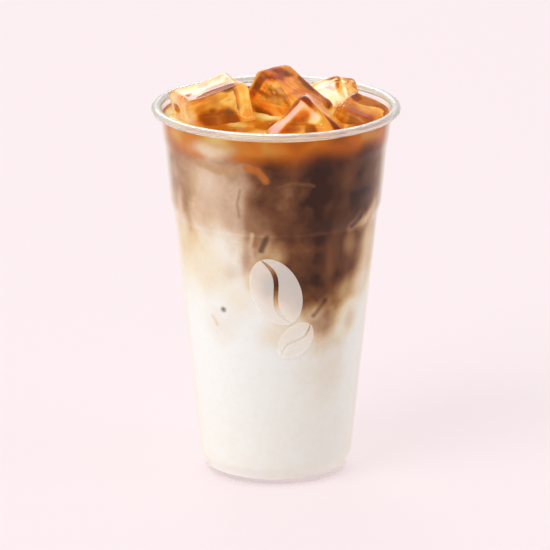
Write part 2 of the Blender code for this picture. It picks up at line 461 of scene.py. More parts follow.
# %% Cubes that touch the wall from inside
SUNK = {
    "sunk_middle": (-6.5, 104.0, 19, 14.0, 0.0, "edge"),
    "sunk_right": (50, 108.7, 50, 11.5, 0.0, "edge"),
    "sunk_low": (-34, 74.3, 10, 15.0, 0.03, "corner"),
    "sunk_deep": (27.5, 75.5, 38, 14.0, -0.13, "edge"),
}


def wall_point(turn, height):
    """Place on the drink's skin, and its outward, sideways and upward directions, for a turn in degrees."""
    angle = math.radians(turn)
    around_axis = np.array([math.sin(angle), -math.cos(angle), 0.0])
    place, above = (around_axis * wall_radius(z) + np.array([0, 0, z]) for z in (height, height + 1))
    sideways = np.array([math.cos(angle), math.sin(angle), 0.0])
    upward = (above - place) / np.linalg.norm(above - place)
    return place, np.cross(sideways, upward), sideways, upward


def touching_cube(turn, height, lean, side, poke, kind):
    """A cube that touches the wall: the diagonal of an edge or of a corner points outward."""
    place, outward, sideways, upward = wall_point(turn, height)
    tilt = math.radians(lean)
    first = sideways * math.sin(tilt) + upward * math.cos(tilt)
    second = np.cross(outward, first)
    if kind == "edge":
        axes = np.stack([(outward + second) / math.sqrt(2), (outward - second) / math.sqrt(2), first], -1)
    else:
        thirds = np.radians([0, -120, -240])
        axes = np.stack([
            outward / math.sqrt(3) + math.sqrt(2 / 3) * (math.cos(third) * first + math.sin(third) * second)
            for third in thirds
        ], -1)
    diagonal = math.sqrt(2 if kind == "edge" else 3)
    reach = diagonal * (side / 2 - ICE_ROUNDING) + ICE_ROUNDING
    return place - outward * (reach - poke), (side, side, side), axes


sunk = {name: touching_cube(*mark) for name, mark in SUNK.items()}
for seed, (name, cube) in enumerate(sunk.items(), start=20):
    cube_points, cube_quads = melted_cube(cube, seed, uneven=0.0)
    ice_pieces[name] = smooth(add_mesh(f"{name}_clear", cube_points, cube_quads.tolist()), 80)
    print(name, "at", np.round(cube[0], 1), "mm, turned by", round(float(np.linalg.det(cube[2])), 3))

# %% [markdown]
# ## Where the milk and the coffee have mixed
# Real coffee falls into milk in curtains and clouds. Five values are worked out for every point of both
# bodies from its place alone, so they run on over every seam: the share of coffee, how golden the mix
# is, where clear amber coffee covers it, how brightly that amber glows, and where sunk ice shows. The
# line where white ends and the depth of colour above it are driven by a few numbers round the cup, then
# single patches and strokes are laid over them, and stirred clouds push everything about.

# %% The layout round the wall: turns in degrees, with 0 in front and 90 at the right
LINE = [(-150, 99), (-90, 102), (-50, 109), (-30, 110), (-20, 106), (-13, 96), (-5, 86), (10, 75), (25, 72),
        (38, 75), (56, 84), (75, 90), (120, 94), (180, 97)]
SOFTNESS = [(-150, 8), (-90, 12), (-35, 9), (-15, 8), (0, 7), (50, 6), (75, 10), (110, 9), (180, 8)]
DEPTH = [(-120, 0.75), (-90, 0.66), (-62, 0.6), (-50, 0.52), (-36, 0.42), (-22, 0.5), (-12, 0.7), (3, 0.84),
         (22, 0.98), (45, 0.94), (66, 0.76), (90, 0.72), (180, 0.85)]
GOLDEN = [(-120, 0.4), (-60, 0.45), (-45, 0.2), (-25, 0.25), (0, 0.55), (25, 0.6), (50, 0.9), (90, 0.8),
          (180, 0.5)]
BAND = [(-120, 8), (-70, 10), (-35, 8), (-10, 9.5), (8, 9.5), (22, 8), (50, 8.5), (90, 8.5), (180, 8)]
BAND_GLOW = [(-120, 0.4), (-66, 0.6), (-33, 0.74), (-14, 0.62), (4, 0.6), (16, 0.5), (28, 0.45), (49, 0.5),
             (75, 0.58), (180, 0.5)]

# %% Patches: turn, height, half width, half height, lean, then share of coffee, gold and amber inside
PATCHES = [
    (-34, 141.4, 11, 3, 4, 0.24, 0.6, 0.08),
    (-66, 137, 7, 5, 0, 0.52, 0.6, 0.45),
    (-37, 125, 6.5, 8, 10, 0.36, 0.2, 0),
    (-57, 126, 5, 8, 0, 0.56, 0.6, 0),
    (-24, 116, 5.5, 9, 8, 0.44, 0.2, 0),
    (-60, 113.5, 4, 7, 0, 0.3, 0.8, 0),
    (25, 129, 11, 9, 0, 1, 0.45, 0),
    (30, 112, 9, 8, 0, 0.9, 0.5, 0),
    (-2, 112, 9, 8, 0, 0.72, 0.45, 0),
    (-9, 113, 6, 7, 0, 0.62, 0.35, 0),
    (-18, 98.5, 3.4, 8, -6, 0.52, 0.15, 0),
    (-8, 95.5, 3.6, 4.5, 20, 0.3, 0.6, 0),
    (-27, 104, 4, 6, 0, 0.22, 0.35, 0),
    (-1, 99.5, 5, 6, 20, 0.44, 0.75, 0),
    (12, 92, 5, 8, 0, 0.86, 0.55, 0),
    (-13, 88, 4.5, 4, 25, 0.28, 0.8, 0),
    (-28, 92, 5.2, 5.5, 0, 0.24, 0.35, 0),
    (-46, 92, 8, 10, 0, 0.18, 0.75, 0),
    (-24, 80, 7, 8, 20, 0.13, 0.85, 0),
    (62, 110.5, 7.5, 3, 28, 0.34, 0.85, 0),
    (37, 107.5, 5, 13, 0, 1, 0.5, 0),
    (45, 101, 3.4, 5, 0, 0.7, 0.8, 0),
    (47, 83, 7.5, 6, 35, 0.48, 0.95, 0),
    # Paler and more golden near the right outline: painted light that comes round through the thin drink
    # there
    (66, 96, 7, 16, 0, 0.34, 0.8, 0),
    (64, 84, 7, 7, 0, 0.2, 0.7, 0),
    (30, 70, 7, 7, 0, 0.52, 0.45, 0),
    (36, 60, 8, 5, 12, 0.3, 0.55, 0),
    (53, 69, 5, 6, 0, 0.26, 0.6, 0),
    # A beige band low on the right side of the milk: painted shade on the side away from the key lamp
    (38, 50, 7, 13, 0, 0.14, 0.45, 0),
    (4, 66, 8, 6, 0, 0.17, 0.8, 0),
    (-36, 70, 9, 9, 0, 0.11, 0.15, 0),
    (-58, 118, 3, 12, -4, 0.56, 0.6, 0),
]

# Strokes: a line of (turn, height) points, its half width, then the same three values
STROKES = [
    ([(-44, 134.2), (-28, 133.6), (-13, 134)], 2, 0.5, 0.8, 0.1),
    ([(-15, 133.9), (-8, 133), (-4.5, 129.6)], 1.5, 0.55, 1.0, 0.92),
    ([(-20, 125), (-21.5, 121), (-20.5, 115)], 0.5, 0.58, 0.2, 0),
    ([(2, 126.5), (10, 127.8), (19, 126.8)], 0.7, 0.76, 0.5, 0),
    ([(-13.5, 108.5), (-15.5, 104), (-14, 98.5)], 0.9, 0.4, 0.4, 0),
    ([(-44, 72.5), (-40, 68.5)], 0.5, 0.3, 0.7, 0),
]


def around(turn, table):
    """A value read off a short table of (turn, value) pairs, in straight runs round the whole circle."""
    angles, values = np.array(table, float).T
    return np.interp(turn, angles, values, period=360)


def smoothstep(low, high, value):
    """0 at the low end, 1 at the high end, and 3 t^2 - 2 t^3 between them."""
    share = np.clip((value - low) / (high - low), 0, 1)
    return share * share * (3 - 2 * share)


PATCH_SOFT = (0.1, 1.6)


def patch_weight(turn, height, radius, patch):
    """1 in the middle of a leaning ellipse on the wall, falling softly to 0 a little outside its edge."""
    at_turn, at_height, wide, tall, lean = patch
    x, z = radius * np.radians(turn - at_turn), height - at_height
    tilt = math.radians(lean)
    along, up = x * math.cos(tilt) + z * math.sin(tilt), z * math.cos(tilt) - x * math.sin(tilt)
    return 1 - smoothstep(*PATCH_SOFT, np.hypot(along / wide, up / tall))


def stroke_weight(turn, height, radius, line, half_width):
    """1 along a line on the wall, falling to 0 at its half width and a little more."""
    nearest = np.full(len(turn), np.inf)
    for (turn_a, height_a), (turn_b, height_b) in zip(line, line[1:]):
        x, z = radius * np.radians(turn - turn_a), height - height_a
        run = np.stack([radius * math.radians(turn_b - turn_a), np.full_like(x, height_b - height_a)])
        share = np.clip((x * run[0] + z * run[1]) / (run ** 2).sum(0), 0, 1)
        nearest = np.minimum(nearest, np.hypot(x - share * run[0], z - share * run[1]))
    return 1 - smoothstep(0.4 * half_width, 1.3 * half_width + 0.3, nearest)


def point_array(obj):
    """An object's points in millimetres."""
    flat = np.empty(len(obj.data.vertices) * 3, np.float32)
    obj.data.vertices.foreach_get("co", flat)
    return flat.reshape(-1, 3).astype(float) / MM


def set_values(obj, name, values):
    """One value for each point, from 0 to 1, as an attribute that the materials read."""
    attribute = obj.data.attributes.new(name, "FLOAT", "POINT")
    attribute.data.foreach_set("value", np.clip(values, 0, 1).astype(np.float32))


# %% The values at the wall
# At the height of the step in the wall a thin band of the drink gets less coffee: a painted highlight for the
# light that the bend in the plastic sends back
STEP_HEIGHT, STEP_LINE, STEP_HIGHLIGHT_SHARE = 106.6, 0.6, 0.10
WISP_DROP, WISP_REACH, WISP_SHARE, WISP_GOLD = 10.0, 16.0, 0.20, 0.5
HOOK_GLOW = 0.58
# LOW_* tint the milk a little darker and more golden towards the bottom: a faint painted shade near the foot
LOW_FROM, LOW_TO, LOW_GOLD, LOW_SHARE = 60.0, 15.0, 0.5, 0.015
# How far the clouds push the turn, in degrees, and the height, in mm, and how much they vary the share
TURN_STIR, HEIGHT_STIR, SHARE_STIR = (3.2, 2.0), (3.6, 1.5, 0.5), (0.12, 0.11, 0.05)
# Patches and strokes follow only this part of that push, and a stroke lets a little of its ground through
NEAR_STIR, STROKE_SHARE = 0.45, 0.8
# Distances from sunk ice between which its dark mark, painted shade where the ice presses on the plastic, and
# the paler halo round it fade, and their strength
SLIT_FADE, SLIT_SHARE = (-0.10, 0.34), 0.9
HALO_FADE, HALO_SHARE = (0.1, 1.8), 0.16


def wall_values(points):
    """Coffee, gold, amber, glow and slit where the drink lies against the plastic."""
    radius = np.hypot(points[:, 0], points[:, 1])
    slow, fine = cloud(points * (1, 1, 0.6), 24, 3), cloud(points * (1, 1, 0.7), 8, 5)
    sway, grain = cloud(points * (1, 1, 0.6), 26, 4), cloud(points, 3.5, 6)
    true_turn, true_height = np.degrees(np.arctan2(points[:, 0], -points[:, 1])), points[:, 2]
    turn = true_turn + TURN_STIR[0] * sway + TURN_STIR[1] * fine
    height = true_height + HEIGHT_STIR[0] * slow + HEIGHT_STIR[1] * fine + HEIGHT_STIR[2] * grain
    rise = (height - around(turn, LINE)) / around(turn, SOFTNESS)
    coffee = (0.5 + 0.5 * np.tanh(rise)) * around(turn, DEPTH)
    coffee *= 1 + SHARE_STIR[0] * sway + SHARE_STIR[1] * fine + SHARE_STIR[2] * grain
    ridge = smoothstep(-0.2, 0.9, cloud(points * (1, 1, 0.8), 17, 12))
    below = true_height - around(turn, LINE) + WISP_DROP
    wisp = ridge * np.exp(-(below / WISP_REACH) ** 2)
    coffee += WISP_SHARE * wisp * (1 - coffee)
    # Painted shade towards the bottom
    low = smoothstep(LOW_FROM, LOW_TO, true_height)
    coffee += LOW_SHARE * low
    gold = around(turn, GOLDEN) + 0.2 * slow + WISP_GOLD * wisp + LOW_GOLD * low
    depth = drink_level - true_height + 2.2 * fine + 1.6 * slow
    edge = around(turn, BAND)
    amber = 1 - smoothstep(0.35 * edge, 1.6 * edge, depth)
    glow = around(turn, BAND_GLOW) + 0.12 * fine + 0.1 * slow
    glow -= 0.25 * smoothstep(0.5 * edge, 1.3 * edge, depth)
    near_turn = NEAR_STIR * turn + (1 - NEAR_STIR) * true_turn
    near_height = NEAR_STIR * height + (1 - NEAR_STIR) * true_height
    for *patch, patch_coffee, patch_gold, patch_amber in PATCHES:
        weight = patch_weight(near_turn, near_height, radius, patch)
        coffee += weight * (patch_coffee * (1 + SHARE_STIR[0] * fine) - coffee)
        gold += weight * (patch_gold - gold)
        amber += weight * (patch_amber - amber)
    for line, half_width, line_coffee, line_gold, line_amber in STROKES:
        weight = STROKE_SHARE * stroke_weight(near_turn, near_height, radius, line, half_width)
        coffee += weight * (line_coffee - coffee)
        gold += weight * (line_gold - gold)
        amber += weight * (line_amber - amber)
        glow += weight * line_amber * (HOOK_GLOW - glow)
    to_sunk = ice_distance(points, sunk)
    slit = (1 - smoothstep(*SLIT_FADE, to_sunk)) * SLIT_SHARE
    halo = (1 - smoothstep(*HALO_FADE, to_sunk)) * (1 - slit)
    coffee -= halo * HALO_SHARE * coffee
    # The painted highlight along the step in the wall
    to_step = (true_height - STEP_HEIGHT) / STEP_LINE
    coffee -= STEP_HIGHLIGHT_SHARE * np.exp(-to_step ** 2) * (0.7 + 0.3 * slow) * coffee
    return coffee, gold, amber, glow, slit


# %% The values in the hollows and on the surface
CREAM_PLACE, CREAM_NEAR, CREAM_FAR = (20.0, 34.0, 143.5), 7.0, 12.0
TOP_GLOW, HOLLOW_GLOW, GLOW_LOSS = 0.86, 0.78, 0.03
# Darker and lighter pools on the open surface: x, y, half sizes and glow
POOLS = [(-20.0, -24.0, 11.0, 9.0, 0.48), (-3.0, -17.0, 5.5, 8.0, 0.44), (37.0, -17.0, 8.0, 9.0, 0.40),
         (-39.0, -12.0, 5.0, 12.0, 0.95)]
POOL_SOFT, TOP_DEPTHS = (0.6, 1.15), (0.3, 1.3)


def inner_values(points):
    """Coffee, gold, amber, glow and slit on the top of the drink and round the floating ice."""
    depth = np.clip(drink_level - points[:, 2], 0, None)
    slow, fine = cloud(points, 13, 9), cloud(points, 5, 10)
    on_top = 1 - smoothstep(*TOP_DEPTHS, depth)
    hollow = np.clip(HOLLOW_GLOW - GLOW_LOSS * depth, 0.4, 1) + 0.20 * slow + 0.06 * fine
    glow = hollow + on_top * (TOP_GLOW + 0.16 * slow + 0.08 * fine - hollow)
    for x, y, half_x, half_y, pool_glow in POOLS:
        from_pool = np.hypot((points[:, 0] - x) / half_x, (points[:, 1] - y) / half_y) + 0.15 * fine
        glow += on_top * (1 - smoothstep(*POOL_SOFT, from_pool)) * (pool_glow - glow)
    away = np.linalg.norm(points - np.array(CREAM_PLACE), axis=1) + 1.5 * slow
    cream = 1 - smoothstep(CREAM_NEAR, CREAM_FAR, away)
    full = np.ones(len(points))
    return full - 0.97 * cream, full, full - cream, glow, 0 * full


VALUE_NAMES = ("coffee", "gold", "amber", "glow", "slit")
WALL_SKIN = (0.6, 1.6)
for piece in (milk, coffee):
    points = point_array(piece)
    to_wall = wall_radius(points[:, 2]) - np.hypot(points[:, 0], points[:, 1])
    inside = smoothstep(*WALL_SKIN, to_wall)
    for value_name, outer, inner in zip(VALUE_NAMES, wall_values(points), inner_values(points)):
        set_values(piece, value_name, outer + inside * (inner - outer))
    print(piece.name, len(points), "points, of which", int((inside < 0.5).sum()), "at the wall")

# %% [markdown]
# ## The liquid's material
# Two colour ramps turn the share of coffee into milk white, cream, tan and brown: one is pinkish, one
# golden, and the gold value blends them. A third one turns the glow into burnt or bright amber. Fine
# noise is added to the share first, for wisps that are finer than the points of the mesh. Near the
# outline of the cup light comes round through a thin layer of drink, so the colour fades to cream there.
# The part that wets the plastic has no gloss of its own, but the open surface is glossy.

# %% The marbled liquid
COOL_TONES = [(0.0, (251, 252, 249)), (0.16, (243, 233, 224)), (0.36, (222, 191, 170)),
              (0.6, (168, 126, 101)), (0.8, (116, 73, 49)), (1.0, (58, 27, 16))]
GOLD_TONES = [(0.0, (252, 250, 243)), (0.16, (247, 234, 206)), (0.36, (228, 192, 140)),
              (0.6, (170, 121, 70)), (0.8, (118, 68, 34)), (1.0, (58, 27, 10))]
AMBER_TONES = [(0.0, (62, 27, 12)), (0.2, (112, 52, 20)), (0.42, (172, 84, 18)), (0.6, (212, 110, 8)),
               (0.8, (222, 168, 78)), (1.0, (240, 216, 152))]
# The dark mark where sunk ice presses on the plastic is painted shade
SLIT_SHADE_TONE = (80, 60, 52)
EDGE_TONE = (250, 236, 208)
EDGE_FROM, EDGE_TO, EDGE_SHARE = 0.228, 0.256, 0.65


def ramp(nodes, tones):
    """A colour ramp from a list of places and screen colours."""
    node = add_node(nodes, "ShaderNodeValToRGB")
    stops = node.color_ramp.elements
    while len(stops) < len(tones):
        stops.new(0.5)
    for stop, (place, color) in zip(stops, tones):
        stop.position = place
        stop.color = tone(*color)
    return node


def blend(nodes, links, factor, first, second):
    """Mixes two colours, each a node's output or a constant, by a factor."""
    node = add_node(nodes, "ShaderNodeMix", data_type="RGBA")
    links.new(factor, node.inputs["Factor"])
    for socket, value in (("A", first), ("B", second)):
        if isinstance(value, tuple):
            node.inputs[socket].default_value = tone(*value)
        else:
            links.new(value, node.inputs[socket])
    return node.outputs["Result"]


def build_drink_colors():
    """A group that reads the five values at the points and gives the colour of the drink."""
    group = bpy.data.node_groups.new("drink_colors", "ShaderNodeTree")
    group.interface.new_socket("Wisps", in_out="INPUT", socket_type="NodeSocketFloat")
    group.interface.new_socket("Color", in_out="OUTPUT", socket_type="NodeSocketColor")
    nodes, links = group.nodes, group.links
    given = add_node(nodes, "NodeGroupInput")
    place = add_node(nodes, "ShaderNodeTexCoord")
    wisps = add_node(nodes, "ShaderNodeTexNoise", {"Scale": 260.0, "Detail": 4.0, "Distortion": 1.2})
    links.new(place.outputs["Object"], wisps.inputs["Vector"])
    values = {}
    for value_name in VALUE_NAMES:
        values[value_name] = add_node(nodes, "ShaderNodeAttribute", attribute_name=value_name).outputs["Fac"]
    spread = add_node(nodes, "ShaderNodeMath", operation="MULTIPLY_ADD")
    links.new(wisps.outputs["Fac"], spread.inputs[0])
    links.new(given.outputs["Wisps"], spread.inputs[1])
    links.new(values["coffee"], spread.inputs[2])
    share = add_node(nodes, "ShaderNodeMath", {1: -0.5}, operation="MULTIPLY_ADD")
    links.new(given.outputs["Wisps"], share.inputs[0])
    links.new(spread.outputs["Value"], share.inputs[2])
    drivers = (share.outputs["Value"], share.outputs["Value"], values["glow"])
    shades = []
    for tones, driver in zip((COOL_TONES, GOLD_TONES, AMBER_TONES), drivers):
        shade = ramp(nodes, tones)
        links.new(driver, shade.inputs["Fac"])
        shades.append(shade.outputs["Color"])
    mixed = blend(nodes, links, values["gold"], shades[0], shades[1])
    covered = blend(nodes, links, values["amber"], mixed, shades[2])
    # Painted shade laid over the colour where sunk ice presses on the wall
    marked = blend(nodes, links, values["slit"], covered, SLIT_SHADE_TONE)
    output = add_node(nodes, "NodeGroupOutput")
    links.new(marked, output.inputs["Color"])
    return group


drink_colors = build_drink_colors()
FINE_WISPS, DRINK_IOR = 0.12, 1.34


def liquid_material(name, roughness, specular, edge_share, painted_glow=0.0):
    """The drink's colours, faded to cream near the outline, with a painted glow of their own where one is
    given.
    """
    made, nodes, links, shader = new_material(name)
    colors = add_node(nodes, "ShaderNodeGroup", node_tree=drink_colors)
    set_inputs(colors, {"Wisps": FINE_WISPS})
    layer = add_node(nodes, "ShaderNodeLayerWeight", {"Blend": 0.5})
    limits = {"From Min": EDGE_FROM, "From Max": EDGE_TO, "To Max": edge_share}
    fade = add_node(nodes, "ShaderNodeMapRange", limits, interpolation_type="SMOOTHSTEP")
    links.new(layer.outputs["Facing"], fade.inputs["Value"])
    color = blend(nodes, links, fade.outputs["Result"], colors.outputs["Color"], EDGE_TONE)
    links.new(color, shader.inputs["Base Color"])
    set_inputs(shader, {"Roughness": roughness, "Specular IOR Level": specular, "IOR": DRINK_IOR})
    if painted_glow:
        links.new(color, shader.inputs["Emission Color"])
        shader.inputs["Emission Strength"].default_value = painted_glow
    return made


milk_finish = liquid_material("milk_marbled", 0.6, 0.05, EDGE_SHARE)
coffee_finish = liquid_material("coffee_marbled", 0.6, 0.05, EDGE_SHARE)
# The open surface and the hollows round the ice get a painted glow, for light that comes through the amber
# coffee
surface_finish = liquid_material("coffee_surface", 0.08, 0.25, 0.0, 0.1)
hollow_finish = liquid_material("coffee_round_ice", 0.6, 0.05, 0.0, 0.3)


def sort_faces(obj, material_of):
    """Gives every face its material number, from a function of the faces' middles."""
    flat = np.empty(len(obj.data.polygons) * 3, np.float32)
    obj.data.polygons.foreach_get("center", flat)
    numbers = material_of(flat.reshape(-1, 3).astype(float) / MM)
    obj.data.polygons.foreach_set("material_index", numbers.astype(np.int32))


NEAR_WALL, NEAR_ICE = 0.3, 0.15


def coffee_parts(middles):
    """0 at the wall, 1 on the open surface, 2 in the hollows."""
    at_wall = wall_radius(middles[:, 2]) - np.hypot(middles[:, 0], middles[:, 1]) < NEAR_WALL
    in_hollow = ice_distance(middles, floating) < NEAR_ICE
    return np.where(at_wall, 0, np.where(in_hollow, 2, 1))


# %% [markdown]
# ## Colours inside the ice
# Ice that floats in coffee isn't plain glass. Light reaches the eye through melt water and coffee that cling
# to the faces, so a cube shows golden and dark brown bands, and a clouded heart of tiny bubbles. Three
# values at the points of each cube say how much coffee is in the way, how much cloud and painted highlight
# it shows, and how warm that cloud looks. The cloud is a painted glow that the ice gives off by itself, and
# the same glow paints highlights and reflections on the faces. Slow swirls vary the values round a mean for
# each cube, and marks, set in the cube's own directions, place the largest stains and painted highlights.

# %% Marks in each cube: place and reach in halves of its sides, then steeped, cloud and highlight, and warm
ICE_MARKS = {
    "ice_left": [
        ((0.0, 0.1, 1.0), (1.6, 1.5, 0.25), 0.04, 0.50, 0.20),
        ((0.68, -0.05, 1.0), (0.34, 0.44, 0.25), 0.25, 0.25, 0.44),
        ((-0.55, -0.58, 1.0), (0.80, 0.72, 0.25), 0.76, 0.20, 0.70),
        ((0.20, -0.92, 1.0), (0.60, 0.46, 0.25), 0.82, 0.18, 0.80),
        ((0.0, -1.0, 0.3), (1.5, 0.3, 1.3), 0.34, 0.22, 0.58),
        ((-0.5, -1.0, 0.78), (0.8, 0.3, 0.15), 0.60, 0.26, 0.72),
        ((0.08, -0.15, 1.0), (0.46, 0.36, 0.2), 0.90, 0.22, 0.94),
        ((0.34, -0.62, 1.0), (0.28, 0.50, 0.2), 0.92, 0.22, 0.96),
        ((-0.42, -1.0, 0.40), (0.40, 0.3, 0.34), 0.84, 0.30, 0.93),
        ((-0.10, -1.0, 0.20), (0.48, 0.3, 0.42), 0.86, 0.30, 0.95),
        ((0.24, -1.0, 0.02), (0.44, 0.3, 0.38), 0.84, 0.30, 0.93),
        ((-1.0, 0.0, 0.5), (0.3, 1.3, 0.9), 0.20, 0.30, 0.36),
        ((-1.0, 0.30, 0.60), (0.3, 0.36, 0.2), 0.80, 0.26, 0.85),
    ],
    "ice_tall": [
        ((-0.70, -0.35, 1.0), (0.30, 1.1, 0.3), 0.86, 0.16, 0.92),
        ((-0.72, -1.0, 0.45), (0.16, 0.3, 0.75), 0.84, 0.20, 0.88),
        ((-0.12, -0.75, 0.95), (0.28, 0.50, 0.3), 0.15, 0.25, 0.46),
        ((-0.20, -0.1, 1.0), (0.24, 0.45, 0.3), 0.34, 0.18, 0.52),
        ((0.25, 0.62, 1.0), (0.9, 0.36, 0.3), 0.82, 0.20, 0.86),
        ((0.45, 0.60, 1.0), (0.9, 0.12, 0.3), 0.95, 0.20, 1.0),
        ((-0.20, -1.0, 0.28), (0.50, 0.3, 0.12), 0.84, 0.22, 0.88),
        ((0.16, -1.0, 0.28), (0.34, 0.3, 0.40), 0.26, 0.26, 0.55),
        ((0.0, -1.0, -0.45), (0.8, 0.3, 0.30), 0.82, 0.22, 0.86),
    ],
    "ice_front": [
        ((-0.80, -1.0, 0.05), (0.40, 0.45, 0.85), 0.06, 0.58, 0.10),
        ((-0.50, -1.0, 0.56), (0.30, 0.4, 0.26), 0.10, 0.50, 0.34),
        ((-0.26, -1.0, 0.70), (0.20, 0.4, 0.20), 0.05, 0.52, 0.24),
        ((-0.86, -0.95, 0.90), (0.34, 0.6, 0.18), 0.90, 0.24, 1.0),
        ((-0.06, -1.0, 0.30), (0.34, 0.4, 0.24), 0.80, 0.28, 0.90),
        ((-0.50, -1.0, -0.05), (0.24, 0.4, 0.64), 0.66, 0.26, 0.84),
        ((-0.93, -1.0, 0.30), (0.10, 0.45, 0.60), 0.70, 0.20, 0.84),
        ((0.38, -1.0, 0.74), (0.22, 0.4, 0.20), 0.20, 0.26, 0.54),
        ((0.30, -0.85, 1.0), (1.0, 0.15, 0.15), 0.94, 0.20, 1.0),
    ],
    "ice_back": [
        ((0.42, 1.0, -0.5), (0.60, 0.4, 0.70), 0.02, 0.76, 0.17),
        ((0.50, 1.0, -0.05), (0.55, 0.4, 0.28), 0.10, 0.34, 0.40),
        ((1.0, 0.3, -0.5), (0.28, 1.2, 1.0), 0.62, 0.25, 0.80),
        ((1.0, 0.55, -0.35), (0.28, 0.20, 0.7), 0.20, 0.25, 0.48),
        ((0.6, 0.8, -1.0), (0.7, 0.30, 0.18), 0.66, 0.22, 0.80),
    ],
    "ice_right": [
        ((0.20, -0.50, 1.0), (0.70, 0.22, 0.3), 0.84, 0.22, 0.84),
        ((0.10, -1.0, 0.55), (1.0, 0.3, 0.45), 0.82, 0.24, 0.84),
        ((-0.55, 0.38, 1.0), (0.28, 0.36, 0.3), 0.82, 0.24, 0.86),
        ((-0.40, -0.25, 1.0), (0.44, 0.18, 0.3), 0.42, 0.25, 0.64),
        ((0.45, 0.25, 1.0), (0.50, 0.20, 0.3), 0.42, 0.25, 0.66),
    ],
    "ice_awash": [
        ((0.0, 0.0, 1.0), (1.0, 1.0, 0.4), 0.42, 0.17, 0.62),
    ],
}
# Steeped, cloud and highlight, and warm away from the marks
ICE_BODY = {
    "ice_left": (0.24, 0.12, 0.52), "ice_tall": (0.34, 0.12, 0.62), "ice_front": (0.30, 0.14, 0.58),
    "ice_back": (0.28, 0.16, 0.50), "ice_right": (0.44, 0.16, 0.72),
}
PLAIN_BODY = (0.20, 0.12, 0.40)
MARK_SWAY, MARK_SOFT = 0.30, (0.60, 1.20)


def ice_values(points, name, cube, seed):
    """Steeped, cloud and painted highlight, and warm: slow swirls, then each mark laid over them as a soft,
    swayed ellipsoid.
    """
    middle, size, turn = cube
    local = (points - np.array(middle)) @ turn / (np.array(size) / 2)
    slow, fine = cloud(points, 9, 60 + seed), cloud(points, 4, 70 + seed)
    sway = np.stack([cloud(points, 7, number + seed) for number in (80, 90, 100)], -1) * MARK_SWAY
    body = ICE_BODY.get(name, PLAIN_BODY)
    steeped = body[0] + 0.30 * smoothstep(0.2, 0.9, slow) + 0.10 * smoothstep(0.3, 0.9, fine)
    cloud_and_highlight = body[1] * (1 + 0.30 * slow + 0.10 * fine)
    warm = body[2] + 0.16 * slow + 0.06 * fine
    for place, reach, mark_steeped, mark_cloud_and_highlight, mark_warm in ICE_MARKS.get(name, []):
        away = np.linalg.norm((local - np.array(place)) / np.array(reach) + sway, axis=1)
        weight = 1 - smoothstep(*MARK_SOFT, away)
        steeped += weight * (mark_steeped * (1 + 0.2 * fine) - steeped)
        cloud_and_highlight += weight * (mark_cloud_and_highlight * (1 + 0.10 * slow) - cloud_and_highlight)
        warm += weight * (mark_warm + 0.05 * fine + 0.04 * slow - warm)
    return steeped, cloud_and_highlight, warm


for seed, (name, cube) in enumerate({**floating, **sunk}.items()):
    values = ice_values(point_array(ice_pieces[name]), name, cube, seed)
    for value_name, value in zip(("steeped", "cloud_and_highlight", "warm"), values):
        set_values(ice_pieces[name], value_name, value)
    print(name, "steeped", values[0].mean().round(2), "cloud_and_highlight", values[1].mean().round(2))

# %% [markdown]
# ## Clear plastic and wet ice
# Both are clear, and both would throw a black shadow on the drink, because a lamp can't be reached
# through a bent ray. The usual cure is to let shadow rays and scattered rays pass straight through. The
# plastic bends light as this kind of sheet does, and ice bends it less. Slow bumps stand for the
# unevenness of blown sheet and for the melting surface of the ice.

# %% Two groups: uneven skin, and the colours of the ice
def build_uneven_skin():
    """A group that turns a size and a depth, in metres, into the normal of a slowly waving skin."""
    group = bpy.data.node_groups.new("uneven_skin", "ShaderNodeTree")
    group.interface.new_socket("Waves Per Metre", in_out="INPUT", socket_type="NodeSocketFloat")
    group.interface.new_socket("Depth", in_out="INPUT", socket_type="NodeSocketFloat")
    group.interface.new_socket("Normal", in_out="OUTPUT", socket_type="NodeSocketVector")
    nodes, links = group.nodes, group.links
    given, output = add_node(nodes, "NodeGroupInput"), add_node(nodes, "NodeGroupOutput")
    place = add_node(nodes, "ShaderNodeTexCoord")
    waves = add_node(nodes, "ShaderNodeTexNoise", {"Detail": 2.0})
    bump = add_node(nodes, "ShaderNodeBump")
    links.new(place.outputs["Object"], waves.inputs["Vector"])
    links.new(given.outputs["Waves Per Metre"], waves.inputs["Scale"])
    links.new(waves.outputs["Fac"], bump.inputs["Height"])
    links.new(given.outputs["Depth"], bump.inputs["Distance"])
    links.new(bump.outputs["Normal"], output.inputs["Normal"])
    return group


STEEPED_TONES = [(0.0, (254, 250, 238)), (0.25, (252, 232, 176)), (0.5, (224, 156, 66)),
                 (0.75, (130, 54, 18)), (1.0, (58, 20, 12))]
# Colours of the painted glow in the ice, for its clouded heart and for highlights and reflections on its
# faces
CLOUD_GLOW_TONES = [(0.0, (228, 218, 224)), (0.25, (246, 236, 214)), (0.5, (242, 190, 102)),
               (0.75, (208, 122, 38)), (1.0, (128, 52, 18))]
CLOUD_BLOCKS = (70, 56, 40)


